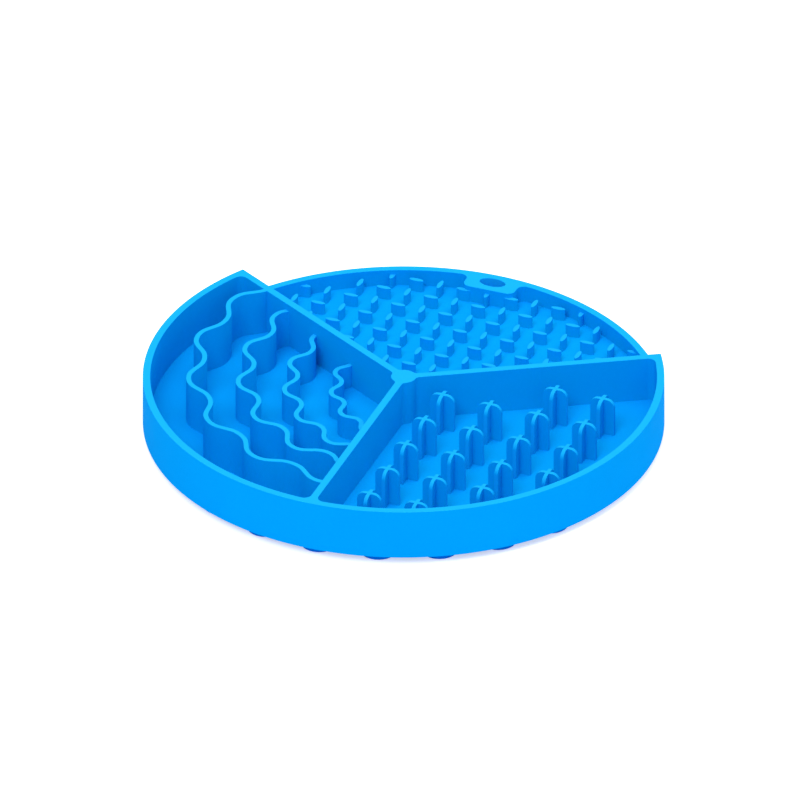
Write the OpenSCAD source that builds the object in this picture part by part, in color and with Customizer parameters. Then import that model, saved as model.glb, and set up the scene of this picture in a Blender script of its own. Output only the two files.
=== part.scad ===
// Round moulded silicone lick mat: three food compartments with different textures inside a rim,
// a hang tab in the low stretch of the rim, and a ring of suction cups underneath.
// The origin is at the middle of the mat, on the surface that the cups stand on. +Z points up,
// +Y points from the hub to the hang tab, and +X to the right of someone who faces the tab.

/* [Mat] */
// Outside diameter of the mat
mat_d = 206; // [190:1:230]
// Thickness of the base under the compartments
base_t = 2; // [1.5:0.1:3]
// Height of the tall rim and of the dividers above the base's underside
rim_h = 21; // [19:0.5:26]
// Height of the low rim and of the hang tab above the base's underside
low_rim_h = 9; // [8:0.5:12]
// Thickness of the rim and of the dividers
wall_t = 3; // [2:0.1:4]
// Radius of the upright corners between a divider and the rim
corner_r = 3; // [2:0.1:5]
// Radius of the rim's outer upper edge
rim_edge_r = 0.3; // [0.2:0.1:1]

/* [Hub] */
// Diameter of the round hub where the dividers meet
hub_d = 10; // [8:0.5:14]
// Radius of the upright corners between the hub and a divider
hub_corner_r = 2; // [1:0.1:3]

/* [Hang tab] */
// Width of the tab between its straight sides
tab_w = 21.5; // [19:0.5:26]
// How far the tab reaches in from the rim's inner face, at its middle
tab_reach = 8.75; // [8:0.25:11]
// Radius of the tab's own corners and of the corners between it and the rim
tab_corner_r = 3; // [2:0.1:4]
// Length of the oval hang hole, along the rim
hole_l = 10.6; // [8:0.2:13]
// Width of the oval hang hole
hole_w = 5.8; // [4.4:0.2:7]
// Wall between the hang hole and the tab's front face
hole_wall = 3; // [2:0.1:3.4]

/* [Wave ridges] */
// Thickness of a ridge
wave_t = 2; // [1.5:0.1:3]
// How much lower each ridge is than the next one out, where the first is as tall as the rim
wave_drop = 3; // [2:0.25:4]
// How much less the outermost ridge's mean radius is than the compartment's
wave_rim_gap = 10; // [8:0.5:12]
// Ripples in a full turn of a ridge
wave_ripples = 18; // [14:1:20]

/* [Cross posts] */
// Length of a post's arms from end to end
cross_l = 10; // [7:0.5:12]
// Thickness of an arm
cross_t = 1.5; // [1:0.1:2.5]
// Height of a post above the compartment's floor
cross_h = 16; // [10:0.5:17]
// Radius of the rounded upper corners of an arm
cross_corner_r = 3.2; // [1.5:0.1:3.4]
// Distance between neighbouring posts, both ways
cross_pitch = 20; // [17:0.5:26]
// Distance of the first column and of the first row from the hub's middle
cross_first = 17.5; // [16:0.5:22]
// Least distance from a post's middle to a wall
cross_room = 8; // [7:0.25:10]

/* [Lens posts] */
// Length of a post's oval outline
lens_l = 6; // [4:0.5:7]
// Width of a post's oval outline
lens_w = 2; // [1.5:0.1:3]
// Height of a post above the compartment's floor
lens_h = 5; // [3:0.5:5.5]
// Distance between neighbouring posts, both ways
lens_pitch = 10; // [9:0.5:14]
// Distance of the first row from the rim's inner face
lens_rim_gap = 8.5; // [7:0.25:10]
// Least part of a post that shows where it runs into the rim
lens_show = 1.7; // [1.5:0.1:2]
// Least gap between a post and the hub
lens_hub_gap = 2; // [1:0.25:5]

/* [Suction cups] */
// Diameter of a cup at its lip
cup_d = 15; // [11:0.5:16]
// Height of a cup, from its lip to the base
cup_h = 3.5; // [3:0.1:5]
// Diameter of the neck that joins a cup to the base
cup_neck_d = 7; // [5:0.5:9]
// Height of the straight part of the neck
cup_neck_h = 0.7; // [0.4:0.1:1]
// Height of the cup's edge
cup_edge_h = 0.5; // [0.3:0.1:0.8]
// Width of the flat lip that the cup stands on
cup_lip_w = 0.8; // [0.5:0.1:1.2]
// Depth of the hollow under a cup
cup_hollow_h = 1.8; // [1:0.1:2]
// Distance from the mat's outer face to a cup's middle
cup_inset = 11; // [9:0.5:14]
// Places for cups round the mat, of which the one under the hang hole stays empty
cup_places = 24; // [12:1:24]

/* [Hidden] */
$fn = 180;
silicone_blue = [0.0, 0.63, 1.0];
silicone_deep_blue = [0.0, 0.5, 0.9];

// What a cut runs past the surface that it leaves
overrun = wall_t / 3;

// Directions of the dividers from the hub, in degrees from +X
right_divider_angle = 30;
left_divider_angle = 150;
front_divider_angle = 270;

// Angles from the divider on a compartment's right to the one on its left, seen from the hub
lens_angles = [right_divider_angle, left_divider_angle];
wave_angles = [left_divider_angle, front_divider_angle];
cross_angles = [front_divider_angle - 360, right_divider_angle];
wave_middle_angle = (wave_angles[0] + wave_angles[1]) / 2;

// Heights above the surface that the mat stands on
floor_z = cup_h + base_t;
rim_z = cup_h + rim_h;
low_rim_z = cup_h + low_rim_h;

// Radii from the mat's middle
mat_r = mat_d / 2;
pocket_r = mat_r - wall_t;
hub_r = hub_d / 2;
half_wall = wall_t / 2;

// Hang tab: its front face, and its hole's middle, as distances from the mat's middle
tab_front_y = pocket_r - tab_reach;
tab_corner_y = sqrt(pow(pocket_r - tab_corner_r, 2) - pow(tab_w / 2 + tab_corner_r, 2));
tab_end_x = (tab_w / 2 + tab_corner_r) * pocket_r / (pocket_r - tab_corner_r);
hole_y = tab_front_y + hole_wall + hole_w / 2;

// Each ridge is an arc with ripples. The ridges' mean radii step down by a share of the outermost one's.
// A ridge's middle is set back across the hub and a little to one side, by these shares of the
// compartment's radius, and its ripples swing by a share of its own radius. A share of the swing,
// three times as fast, makes the bends rounder and the stretches between them straighter.
wave_step_share = 1 / 6;
wave_setback_shares = [0.085, 0.1325, 0.1575, 0.1895];
wave_sideways_shares = [0.031, 0.038, 0.015, 0.029];
wave_swing_shares = [0.035, 0.042, 0.044, 0.046];
wave_round_share = 0.055;
wave_names = ["outer_wave_ridge", "second_wave_ridge", "third_wave_ridge", "inner_wave_ridge"];
// Angle of a crest from the compartment's middle, and how far the arcs run past the dividers' directions
wave_crest_angle = -5;
wave_past_angle = 30;

// Straight pieces that stand for a rounded corner, the rim's edge, the hang hole, a lens post, one ripple
// and a cup's dome
corner_steps = 6;
edge_steps = 4;
oval_steps = 32;
lens_steps = 20;
ripple_steps = 12;
cup_steps = 6;

function direction(a) = [cos(a), sin(a)];
function left_of(a) = [-sin(a), cos(a)];
function from_divider(a, u, v) = u * direction(a) + v * left_of(a);
function arc(centre, r, a_from, a_to, steps) =
    [for (i = [0 : steps]) centre + r * direction(a_from + (a_to - a_from) * i / steps)];
function oval(l, w, steps) =
    [for (i = [0 : steps - 1]) [l / 2 * cos(360 * i / steps), w / 2 * sin(360 * i / steps)]];

// Distance of a point inside a compartment from the nearer of its two dividers
function divider_gap(p, angles) = min(p * left_of(angles[0]), p * -left_of(angles[1])) - half_wall;

// Middle of a cup's place
function cup_place(k) = (mat_r - cup_inset) * direction(360 * k / cup_places);
function cup_clear(k) = norm(cup_place(k) - [0, hole_y]) > cup_neck_d / 2 + hole_l / 2;
cups = [for (k = [0 : cup_places - 1]) if (cup_clear(k)) k];

// Cross posts stand on a square grid, wherever they have room between the walls
function cross_place(i, j) = [cross_first + cross_pitch * i, cross_first - cross_pitch * j];
function cross_fits(p) = min(divider_gap(p, cross_angles), pocket_r - norm(p)) >= cross_room;
function cross_columns(j) =
    [for (i = [0 : ceil(mat_r / cross_pitch)]) if (cross_fits(cross_place(i, j))) i];
cross_rows = [for (j = [0 : ceil(2 * mat_r / cross_pitch)]) if (len(cross_columns(j)) > 0) j];

// Round hub with the roots of the dividers: where its rounded corners meet the dividers' faces
hub_v = half_wall + hub_corner_r;
hub_u = sqrt(pow(hub_r + hub_corner_r, 2) - hub_v * hub_v);
hub_reach = max(hub_r, norm([hub_u, half_wall]));

// Lens posts stand on a square grid too, and turn by a quarter from each post to the next. Those near
// a wall run into it, as long as their middle is clear of a divider and enough of them shows at the rim.
// They keep clear of the hub.
function lens_place(i, j) = [lens_pitch * i, pocket_r - lens_rim_gap - lens_pitch * j];
function lens_is_across(i, j) = (abs(i) + j) % 2 == 1;
function lens_tip(i, j) = lens_is_across(i, j) ? [sign(i) * lens_l / 2, 0] : [0, lens_l / 2];
function lens_fits(i, j) =
    divider_gap(lens_place(i, j), lens_angles) > 0
    && pocket_r - norm(lens_place(i, j) - lens_tip(i, j)) >= lens_show
    && norm(lens_place(i, j)) - lens_l / 2 - hub_reach >= lens_hub_gap;
lens_reach = ceil(pocket_r / lens_pitch);
function lens_columns(j) = [for (i = [-lens_reach : lens_reach]) if (lens_fits(i, j)) i];
lens_rows = [for (j = [0 : lens_reach]) if (len(lens_columns(j)) > 0) j];

function cup_name(n) = str("suction_cup_", n + 1);
function cross_name(n) = str("cross_posts_row_", n + 1);
function lens_name(n) = str("lens_posts_row_", n + 1);

// Space between the facing sides of a compartment's two dividers, from their crossing to past the rim
module sector(angles) {
    half = (angles[1] - angles[0]) / 2;
    middle = angles[0] + half;
    apex = half_wall / sin(half) * direction(middle);
    reach = 2 * mat_d;
    translate([0, 0, -overrun])
        linear_extrude(rim_z + 2 * overrun)
            polygon([
                apex,
                apex + reach * direction(angles[0]),
                apex + reach * direction(middle),
                apex + reach * direction(angles[1])
            ]);
}

// Everything from the radius inner_r to the mat's outer face, from the floor to the height top_z,
// with the outer upper edge rounded
module ring(inner_r, top_z) {
    edge = arc([mat_r - rim_edge_r, top_z - rim_edge_r], rim_edge_r, 0, 90, edge_steps);
    rotate_extrude()
        polygon(concat([[inner_r, floor_z], [mat_r, floor_z]], edge, [[inner_r, top_z]]));
}

// Rounded upright corner between the rim and a side of a divider: side is 1 on its left, -1 on its right
module rim_corner(divider_angle, side, top_z) {
    v = half_wall + corner_r;
    u = sqrt(pow(pocket_r - corner_r, 2) - v * v);
    inside_r = pocket_r + overrun;
    outline = concat(
        arc([u, v], corner_r, -90, atan2(v, u), corner_steps),
        [inside_r * direction(atan2(v, u)), [sqrt(inside_r * inside_r - half_wall * half_wall), half_wall]]
    );
    translate([0, 0, floor_z])
        linear_extrude(top_z - floor_z)
            polygon([for (p = outline) from_divider(divider_angle, p.x, side * p.y)]);
}

// Plan of the hang tab, run out past the mat's edge
module tab_plan() {
    convex = arc(
        [tab_w / 2 - tab_corner_r, tab_front_y + tab_corner_r],
        tab_corner_r, -90, 0, corner_steps
    );
    concave = arc(
        [tab_w / 2 + tab_corner_r, tab_corner_y],
        tab_corner_r, 180, atan2(tab_corner_y, tab_w / 2 + tab_corner_r), corner_steps
    );
    half = concat(convex, concave, [[tab_end_x, mat_r + overrun]]);
    last = len(half) - 1;
    polygon(concat(half, [for (i = [last : -1 : 0]) [-half[i].x, half[i].y]]));
}

module hang_hole() {
    translate([0, hole_y, cup_h - overrun])
        linear_extrude(low_rim_h + 2 * overrun)
            polygon(oval(hole_l, hole_w, oval_steps));
}

module base() {
    color(silicone_blue)
        difference() {
            translate([0, 0, cup_h])
                cylinder(h = base_t, r = mat_r);
            hang_hole();
        }
}

module tall_rim() {
    color(silicone_blue) {
        difference() {
            ring(pocket_r, rim_z);
            sector(lens_angles);
        }
        rim_corner(right_divider_angle, -1, rim_z);
        rim_corner(left_divider_angle, 1, rim_z);
        rim_corner(front_divider_angle, -1, rim_z);
        rim_corner(front_divider_angle, 1, rim_z);
    }
}

// Low rim on one side of the hang tab: side is 1 on the right, -1 on the left
module low_rim(side) {
    color(silicone_blue)
        intersection() {
            union() {
                intersection() {
                    ring(pocket_r, low_rim_z);
                    sector(lens_angles);
                }
                rim_corner(right_divider_angle, 1, low_rim_z);
                rim_corner(left_divider_angle, -1, low_rim_z);
            }
            translate([side > 0 ? tab_end_x : -tab_end_x - mat_d, 0, 0])
                cube([mat_d, mat_d, rim_z]);
        }
}

module low_rim_left() {
    low_rim(-1);
}

module low_rim_right() {
    low_rim(1);
}

module hang_tab() {
    color(silicone_blue)
        difference() {
            intersection() {
                ring(0, low_rim_z);
                translate([0, 0, floor_z])
                    linear_extrude(low_rim_z - floor_z)
                        tab_plan();
            }
            hang_hole();
        }
}

// The hub's outline across a compartment, with the rounded corner at each of the two dividers
function hub_side(angles) =
    let (
        turn = atan2(hub_v, hub_u),
        right_corner = from_divider(angles[0], hub_u, hub_v),
        left_corner = from_divider(angles[1], hub_u, -hub_v)
    )
    concat(
        arc(right_corner, hub_corner_r, angles[0] - 90, angles[0] + turn - 180, corner_steps),
        arc([0, 0], hub_r, angles[0] + turn, angles[1] - turn, corner_steps),
        arc(left_corner, hub_corner_r, angles[1] - turn + 180, angles[1] + 90, corner_steps)
    );

module hub() {
    color(silicone_blue)
        translate([0, 0, floor_z])
            linear_extrude(rim_z - floor_z)
                polygon(concat(hub_side(lens_angles), hub_side(wave_angles), hub_side(cross_angles)));
}

// Straight wall from the hub's root to the rim's inner face
module divider(a) {
    color(silicone_blue)
        intersection() {
            translate([0, 0, floor_z])
                cylinder(h = rim_z - floor_z, r = pocket_r);
            rotate(a)
                translate([hub_u, -half_wall, floor_z])
                    cube([mat_r, wall_t, rim_z - floor_z]);
        }
}

module right_divider() {
    divider(right_divider_angle);
}

module left_divider() {
    divider(left_divider_angle);
}

module front_divider() {
    divider(front_divider_angle);
}

// Point beside the middle line of ridge k, at the angle t about the ridge's own middle
function wave_point(k, t, beside) =
    let (
        r0 = (pocket_r - wave_rim_gap) * (1 - wave_step_share * k),
        back = wave_setback_shares[k] * pocket_r,
        aside = wave_sideways_shares[k] * pocket_r,
        centre = from_divider(wave_middle_angle, -back, -aside),
        swing = wave_swing_shares[k] * r0,
        phase = wave_ripples * (t - wave_middle_angle - wave_crest_angle),
        r = r0 + swing * (cos(phase) - wave_round_share * cos(3 * phase)),
        slope = swing * wave_ripples * (3 * wave_round_share * sin(3 * phase) - sin(phase)),
        along = slope * direction(t) + r * left_of(t)
    )
    centre + r * direction(t) + beside * [along.y, -along.x] / norm(along);

module wave_ridge(k) {
    step = 360 / wave_ripples / ripple_steps;
    a_from = wave_angles[0] - wave_past_angle;
    steps = ceil((wave_angles[1] - wave_angles[0] + 2 * wave_past_angle) / step);
    outer_side = [for (i = [0 : steps]) wave_point(k, a_from + step * i, wave_t / 2)];
    inner_side = [for (i = [steps : -1 : 0]) wave_point(k, a_from + step * i, -wave_t / 2)];
    color(silicone_blue)
        intersection() {
            translate([0, 0, floor_z])
                linear_extrude(rim_h - base_t - wave_drop * k)
                    polygon(concat(outer_side, inner_side));
            sector(wave_angles);
        }
}

// Upright plate with rounded upper corners, across the post along X
module cross_arm() {
    rounded = arc(
        [cross_l / 2 - cross_corner_r, cross_h - cross_corner_r],
        cross_corner_r, 0, 90, corner_steps
    );
    half = concat([[cross_l / 2, 0]], rounded);
    last = len(half) - 1;
    translate([0, cross_t / 2, 0])
        rotate([90, 0, 0])
            linear_extrude(cross_t)
                polygon(concat(half, [for (i = [last : -1 : 0]) [-half[i].x, half[i].y]]));
}

module cross_posts_row(n) {
    j = cross_rows[n];
    color(silicone_deep_blue)
        for (i = cross_columns(j))
            translate([cross_place(i, j).x, cross_place(i, j).y, floor_z]) {
                cross_arm();
                rotate(90)
                    cross_arm();
            }
}

module lens_posts_row(n) {
    j = lens_rows[n];
    color(silicone_deep_blue)
        difference() {
            intersection() {
                for (i = lens_columns(j))
                    translate([lens_place(i, j).x, lens_place(i, j).y, floor_z])
                        rotate(lens_is_across(i, j) ? 0 : 90)
                            linear_extrude(lens_h)
                                polygon(oval(lens_l, lens_w, lens_steps));
                cylinder(h = rim_z, r = pocket_r);
                sector(lens_angles);
            }
            linear_extrude(rim_z)
                tab_plan();
        }
}

// Domed cup, hollow underneath, on a short neck
module suction_cup(n) {
    place = cup_place(cups[n]);
    cup_r = cup_d / 2;
    neck_r = cup_neck_d / 2;
    hollow_r = cup_r - cup_lip_w;
    dome_h = cup_h - cup_neck_h - cup_edge_h;
    dome_w = cup_r - neck_r;
    turns = [for (i = [0 : cup_steps]) 90 * i / cup_steps];
    dome = [for (t = turns) [neck_r + dome_w * sin(t), cup_edge_h + dome_h * cos(t)]];
    hollow = [for (t = turns) [hollow_r * cos(t), cup_hollow_h * sin(t)]];
    color(silicone_deep_blue)
        translate([place.x, place.y, 0])
            rotate_extrude()
                polygon(concat([[0, cup_h], [neck_r, cup_h]], dome, [[cup_r, 0]], hollow));
}

base();
tall_rim();
low_rim_left();
low_rim_right();
hang_tab();
hub();
right_divider();
left_divider();
front_divider();
for (k = [0 : len(wave_names) - 1]) wave_ridge(k);
for (n = [0 : len(cross_rows) - 1]) cross_posts_row(n);
for (n = [0 : len(lens_rows) - 1]) lens_posts_row(n);
for (n = [0 : len(cups) - 1]) suction_cup(n);
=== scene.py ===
"""Looks of the round silicone lick mat: its smooth moulded pieces, its finishes, light and camera.

Lengths are in metres and angles in degrees. The origin is at the middle of the mat, on the surface
that the suction cups stand on. +Z points up and +Y from the hub to the hang tab.
"""

import logging
import math
from collections.abc import Callable, Iterable
from dataclasses import dataclass, field
from enum import Enum
from typing import ClassVar

import bmesh
import bpy
from bmesh.types import BMEdge, BMesh, BMFace, BMVert
from bpy.types import NodeSocket
from mathutils import Matrix, Vector


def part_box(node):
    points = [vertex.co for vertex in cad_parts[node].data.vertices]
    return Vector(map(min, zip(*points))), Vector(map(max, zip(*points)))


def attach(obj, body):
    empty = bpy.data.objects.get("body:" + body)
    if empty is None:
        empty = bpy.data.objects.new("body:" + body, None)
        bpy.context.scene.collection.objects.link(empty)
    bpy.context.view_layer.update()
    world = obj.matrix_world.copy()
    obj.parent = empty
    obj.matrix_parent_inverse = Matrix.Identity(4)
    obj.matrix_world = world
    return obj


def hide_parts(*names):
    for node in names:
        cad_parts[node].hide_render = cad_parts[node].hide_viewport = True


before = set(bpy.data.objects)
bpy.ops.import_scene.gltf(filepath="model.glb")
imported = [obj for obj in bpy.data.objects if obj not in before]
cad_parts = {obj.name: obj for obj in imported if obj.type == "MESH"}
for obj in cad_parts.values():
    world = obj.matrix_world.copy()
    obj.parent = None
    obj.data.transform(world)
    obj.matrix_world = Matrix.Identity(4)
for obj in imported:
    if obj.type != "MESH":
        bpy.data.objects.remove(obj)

LOG = logging.getLogger("lick_mat")

MM = 0.001
ROOT_BODY = "root"

HUB = Vector((0.0, 0.0, 0.0))
RIGHT = Vector((1.0, 0.0, 0.0))
BACK = Vector((0.0, 1.0, 0.0))
UP = Vector((0.0, 0.0, 1.0))
QUARTER_TURN = 90.0
HALF_TURN = 180.0
FULL_TURN = 360.0
TOUCHING = 1e-6
SHARP_ANGLE = math.radians(38.0)

SCREEN_WHITE = 255.0
CURVE_FOOT = 0.04045
CURVE_FOOT_SLOPE = 12.92
CURVE_LIFT = 0.055
CURVE_POWER = 2.4

Colour = tuple[float, float, float]


def srgb(red: float, green: float, blue: float) -> Colour:
    """Turns a screen colour into the linear colour that the shaders take.

    Args:
        red: Red from 0 to 255.
        green: Green from 0 to 255.
        blue: Blue from 0 to 255.

    Returns:
        The linear red, green and blue from 0 to 1.
    """

    def linear(value: float) -> float:
        """Takes the screen's curve off one channel.

        Args:
            value: The channel's screen value.

        Returns:
            Its linear value.
        """
        share = value / SCREEN_WHITE
        lifted = (share + CURVE_LIFT) / (1.0 + CURVE_LIFT)
        return share / CURVE_FOOT_SLOPE if share <= CURVE_FOOT else lifted**CURVE_POWER

    return linear(red), linear(green), linear(blue)


def direction(angle: float) -> Vector:
    """Gives the unit vector at an angle from +X, in the plane of the mat."""
    return Vector((math.cos(math.radians(angle)), math.sin(math.radians(angle)), 0.0))


def beside(angle: float, along: float, left: float) -> Vector:
    """Gives the point that lies along a direction from the hub, and to the left of it."""
    return along * direction(angle) + left * direction(angle + QUARTER_TURN)


def bearing(point: Vector) -> float:
    """Gives the angle of a point about the hub, from +X."""
    return math.degrees(math.atan2(point.y, point.x))


def sight_line(azimuth: float, elevation: float) -> Vector:
    """Gives the unit vector towards a lamp or camera, from the mat's front round to +X and up."""
    flat = direction(azimuth - QUARTER_TURN) * math.cos(math.radians(elevation))
    return flat + UP * math.sin(math.radians(elevation))


@dataclass(frozen=True)
class MatSizes:
    """Sizes that more than one piece of the mat follows."""

    mat_r: float = 102.99 * MM
    pocket_r: float = 100.0 * MM
    wall_t: float = 3.0 * MM
    corner_r: float = 3.0 * MM
    hub_r: float = 5.0 * MM
    hub_corner_r: float = 2.0 * MM
    right_angle: float = 30.0
    left_angle: float = 150.0
    front_angle: float = 270.0
    edge_r: float = 0.15 * MM
    sunk: float = 0.6 * MM
    below: float = 0.012 * MM
    base_z: float = field(default_factory=lambda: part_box("base")[0].z)
    floor_z: float = field(default_factory=lambda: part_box("base")[1].z)
    rim_z: float = field(default_factory=lambda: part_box("tall_rim")[1].z)
    low_rim_z: float = field(default_factory=lambda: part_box("hang_tab")[1].z)

    @property
    def half_wall(self) -> float:
        """Half the thickness of a divider."""
        return self.wall_t / 2

    @property
    def root_v(self) -> float:
        """Distance from a divider's middle plane to the centre of its corner at the rim."""
        return self.half_wall + self.corner_r

    @property
    def root_u(self) -> float:
        """Distance from the hub at which a divider's corner at the rim starts."""
        return math.sqrt((self.pocket_r - self.corner_r) ** 2 - self.root_v**2)

    @property
    def hub_v(self) -> float:
        """Distance from a divider's middle plane to the centre of its corner at the hub."""
        return self.half_wall + self.hub_corner_r

    @property
    def hub_u(self) -> float:
        """Distance from the hub's middle at which the hub's corner meets the divider."""
        return math.sqrt((self.hub_r + self.hub_corner_r) ** 2 - self.hub_v**2)

    @property
    def root_turn(self) -> float:
        """Angle from a divider to the centre of its corner at the rim."""
        return math.degrees(math.atan2(self.root_v, self.root_u))

    @property
    def hub_turn(self) -> float:
        """Angle from a divider to the centre of its corner at the hub."""
        return math.degrees(math.atan2(self.hub_v, self.hub_u))


SIZES = MatSizes()


class Pen:
    """Draws an outline in the XY plane by extruding and spinning one vertex."""

    arc_step: float = 0.9 * MM
    fine_turn: float = 9.0
    rim_turn: float = 1.0

    def __init__(self, bm: BMesh, start: Vector) -> None:
        """Puts the pen down in a mesh, at the outline's first point."""
        self.bm = bm
        self.first = self.tip = bm.verts.new(start)

    def line(self, to: Vector) -> "Pen":
        """Draws a straight edge.

        Args:
            to: The point that it ends at.

        Returns:
            The pen.
        """
        grown = bmesh.ops.extrude_vert_indiv(self.bm, verts=[self.tip])
        self.tip = grown["verts"][0]
        self.tip.co = to
        return self

    def arc(self, centre: Vector, turn: float, squash: float = 1.0) -> "Pen":
        """Draws an arc about a centre.

        Args:
            centre: The arc's centre.
            turn: Angle that the arc covers, positive to the left.
            squash: Share to which the arc's Y extent is pressed, for a quarter of an oval.

        Returns:
            The pen.
        """
        radius = (self.tip.co - centre).length
        length = math.radians(abs(turn)) * radius
        steps = max(math.ceil(abs(turn) / self.fine_turn), math.ceil(length / self.arc_step))
        if radius > SIZES.pocket_r - TOUCHING:
            steps = math.ceil(abs(turn) / self.rim_turn)
        before = set(self.bm.verts)
        angle = math.radians(turn)
        spun = bmesh.ops.spin(
            self.bm, geom=[self.tip], cent=centre, axis=UP, angle=angle, steps=steps
        )
        drawn = [vert for vert in self.bm.verts if vert not in before]
        space = Matrix.Translation(-centre)
        bmesh.ops.scale(self.bm, vec=(1.0, squash, 1.0), space=space, verts=drawn)
        self.tip = spun["geom_last"][0]
        return self

    def close(self) -> None:
        """Joins the last point to the first."""
        if (self.tip.co - self.first.co).length > TOUCHING:
            bmesh.ops.contextual_create(self.bm, geom=[self.tip, self.first])
        bmesh.ops.remove_doubles(self.bm, verts=[self.first, self.tip], dist=TOUCHING)


def everything(bm: BMesh) -> list[BMVert | BMEdge | BMFace]:
    """Lists a mesh's vertices, edges and faces together, as the cutting operators take them."""
    return [*bm.verts, *bm.edges, *bm.faces]


def raise_by(bm: BMesh, height: float) -> None:
    """Moves a whole mesh along Z."""
    bmesh.ops.translate(bm, verts=bm.verts[:], vec=UP * height)


def fill_outlines(bm: BMesh) -> None:
    """Fills the flat region between all the outlines in a mesh."""
    bmesh.ops.triangle_fill(bm, edges=bm.edges[:], use_beauty=True, use_dissolve=False, normal=UP)


def cut(bm: BMesh, point: Vector, normal: Vector, drop: bool) -> None:
    """Cuts a mesh along a plane.

    Args:
        bm: The mesh.
        point: A point of the plane.
        normal: The plane's normal.
        drop: Whether what lies on the normal's side is taken away, and the rest closed.
    """
    bmesh.ops.bisect_plane(
        bm,
        geom=everything(bm),
        dist=TOUCHING * MM,
        plane_co=point,
        plane_no=normal,
        clear_outer=drop,
    )


def close_cuts(bm: BMesh) -> None:
    """Fills each open outline that a cut has left."""
    rims = [edge for edge in bm.edges if edge.is_boundary]
    bmesh.ops.holes_fill(bm, edges=rims, sides=0)


def trim_to_compartment(bm: BMesh, first: float, last: float) -> None:
    """Cuts off what runs through the dividers on the two sides of a compartment.

    Args:
        bm: The mesh.
        first: Angle of the divider at which the compartment starts.
        last: Angle of the divider at which it ends.
    """
    within = SIZES.half_wall - SIZES.sunk
    for angle, side in ((first, 1.0), (last, -1.0)):
        outward = -side * direction(angle + QUARTER_TURN)
        cut(bm, beside(angle, 0.0, side * within), outward, drop=True)
        close_cuts(bm)


def take_apart(
    whole: BMesh, names: Iterable[str], owner: Callable[[Vector], str]
) -> dict[str, BMesh]:
    """Takes a mesh apart along its cuts, into closed pieces.

    Args:
        whole: The mesh, which is used up.
        names: Names of the pieces.
        owner: Names the piece that a point of the mesh belongs to.

    Returns:
        Each piece's mesh by its name.
    """
    made = {}
    for name in names:
        bm = whole.copy()
        others = [face for face in bm.faces if owner(face.calc_center_median()) != name]
        bmesh.ops.delete(bm, geom=others, context="FACES")
        close_cuts(bm)
        bmesh.ops.recalc_face_normals(bm, faces=bm.faces[:])
        made[name] = bm
    whole.free()
    return made


def store(bm: BMesh, name: str) -> bpy.types.Mesh:
    """Stores a mesh under a name.

    Args:
        bm: The mesh, which is used up.
        name: Its name.

    Returns:
        The stored mesh.
    """
    mesh = bpy.data.meshes.new(name)
    bm.to_mesh(mesh)
    bm.free()
    return mesh


def stamp(bm: BMesh, pattern: bpy.types.Mesh, place: Vector) -> None:
    """Adds a copy of a stored mesh.

    Args:
        bm: The mesh that the copy goes into.
        pattern: The stored mesh.
        place: Where the copy's own origin goes.
    """
    before = set(bm.verts)
    bm.from_mesh(pattern)
    added = [vert for vert in bm.verts if vert not in before]
    bmesh.ops.translate(bm, verts=added, vec=place)


def put_in_scene(name: str, data: bpy.types.ID) -> bpy.types.Object:
    """Makes an object of a mesh, a lamp or a camera.

    Args:
        name: The object's name.
        data: The mesh, the lamp or the camera.

    Returns:
        The object, in the scene.
    """
    made = bpy.data.objects.new(name, data)
    bpy.context.scene.collection.objects.link(made)
    return made


class Moulding:
    """A solid that is raised from a flat plan, with a rounded edge all round its far face."""

    rings: int = 3
    # The first mark is each vertex's share of painted highlight on upper faces. The second is its
    # share of painted shade tint within the mat, which starts at the brim share just under the top.
    painted_highlight_name: str = "painted_highlight"
    shade_tint_name: str = "shade_tint"
    brim_shade_tint: float = 0.3

    def __init__(self, bm: BMesh, far_z: float, edge_r: float) -> None:
        """Takes the plan.

        Args:
            bm: A mesh that holds the plan's faces and nothing else.
            far_z: Height that the plan is raised or lowered to.
            edge_r: Radius of the far face's edge.
        """
        self.bm = bm
        self.far_z = far_z
        self.edge_r = edge_r

    def grow(self) -> "Moulding":
        """Raises the plan to the far face and rounds its edge.

        Returns:
            The moulding.
        """
        near_z = self.bm.verts[:][0].co.z
        way = math.copysign(1.0, self.far_z - near_z)
        grown = bmesh.ops.extrude_face_region(self.bm, geom=self.bm.faces[:])["geom"]
        cap = [part for part in grown if isinstance(part, BMFace)]
        self._lift(cap, self.far_z - near_z - way * self.edge_r)
        quarter = math.radians(QUARTER_TURN)
        for ring in range(self.rings):
            low = quarter * ring / self.rings
            high = quarter * (ring + 1) / self.rings
            bmesh.ops.inset_region(
                self.bm,
                faces=cap,
                thickness=self.edge_r * (math.cos(low) - math.cos(high)),
                use_boundary=True,
                use_even_offset=True,
            )
            self._lift(cap, way * self.edge_r * (math.sin(high) - math.sin(low)))
        bmesh.ops.recalc_face_normals(self.bm, faces=self.bm.faces[:])
        return self

    def _lift(self, cap: list[BMFace], height: float) -> None:
        """Moves the faces of the cap along Z."""
        verts = list({vert for face in cap for vert in face.verts})
        bmesh.ops.translate(self.bm, verts=verts, vec=UP * height)

    def mark_painted_light(self) -> None:
        """Writes each vertex's share of painted highlight, full on the upper face and fading over
        its rounded edge, and within the mat its share of painted shade tint, which grows with depth
        below the top.
        """
        painted_highlight = self.bm.verts.layers.float.new(self.painted_highlight_name)
        shade_tint = self.bm.verts.layers.float.new(self.shade_tint_name)
        for vert in self.bm.verts:
            down = self.far_z - vert.co.z
            vert[painted_highlight] = min(1.0, max(0.0, 1.0 - down / self.edge_r))
            if vert.co.xy.length < SIZES.mat_r - SIZES.half_wall:
                depth = down / (self.far_z - SIZES.floor_z)
                vert[shade_tint] = self.brim_shade_tint + (1.0 - self.brim_shade_tint) * depth


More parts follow.
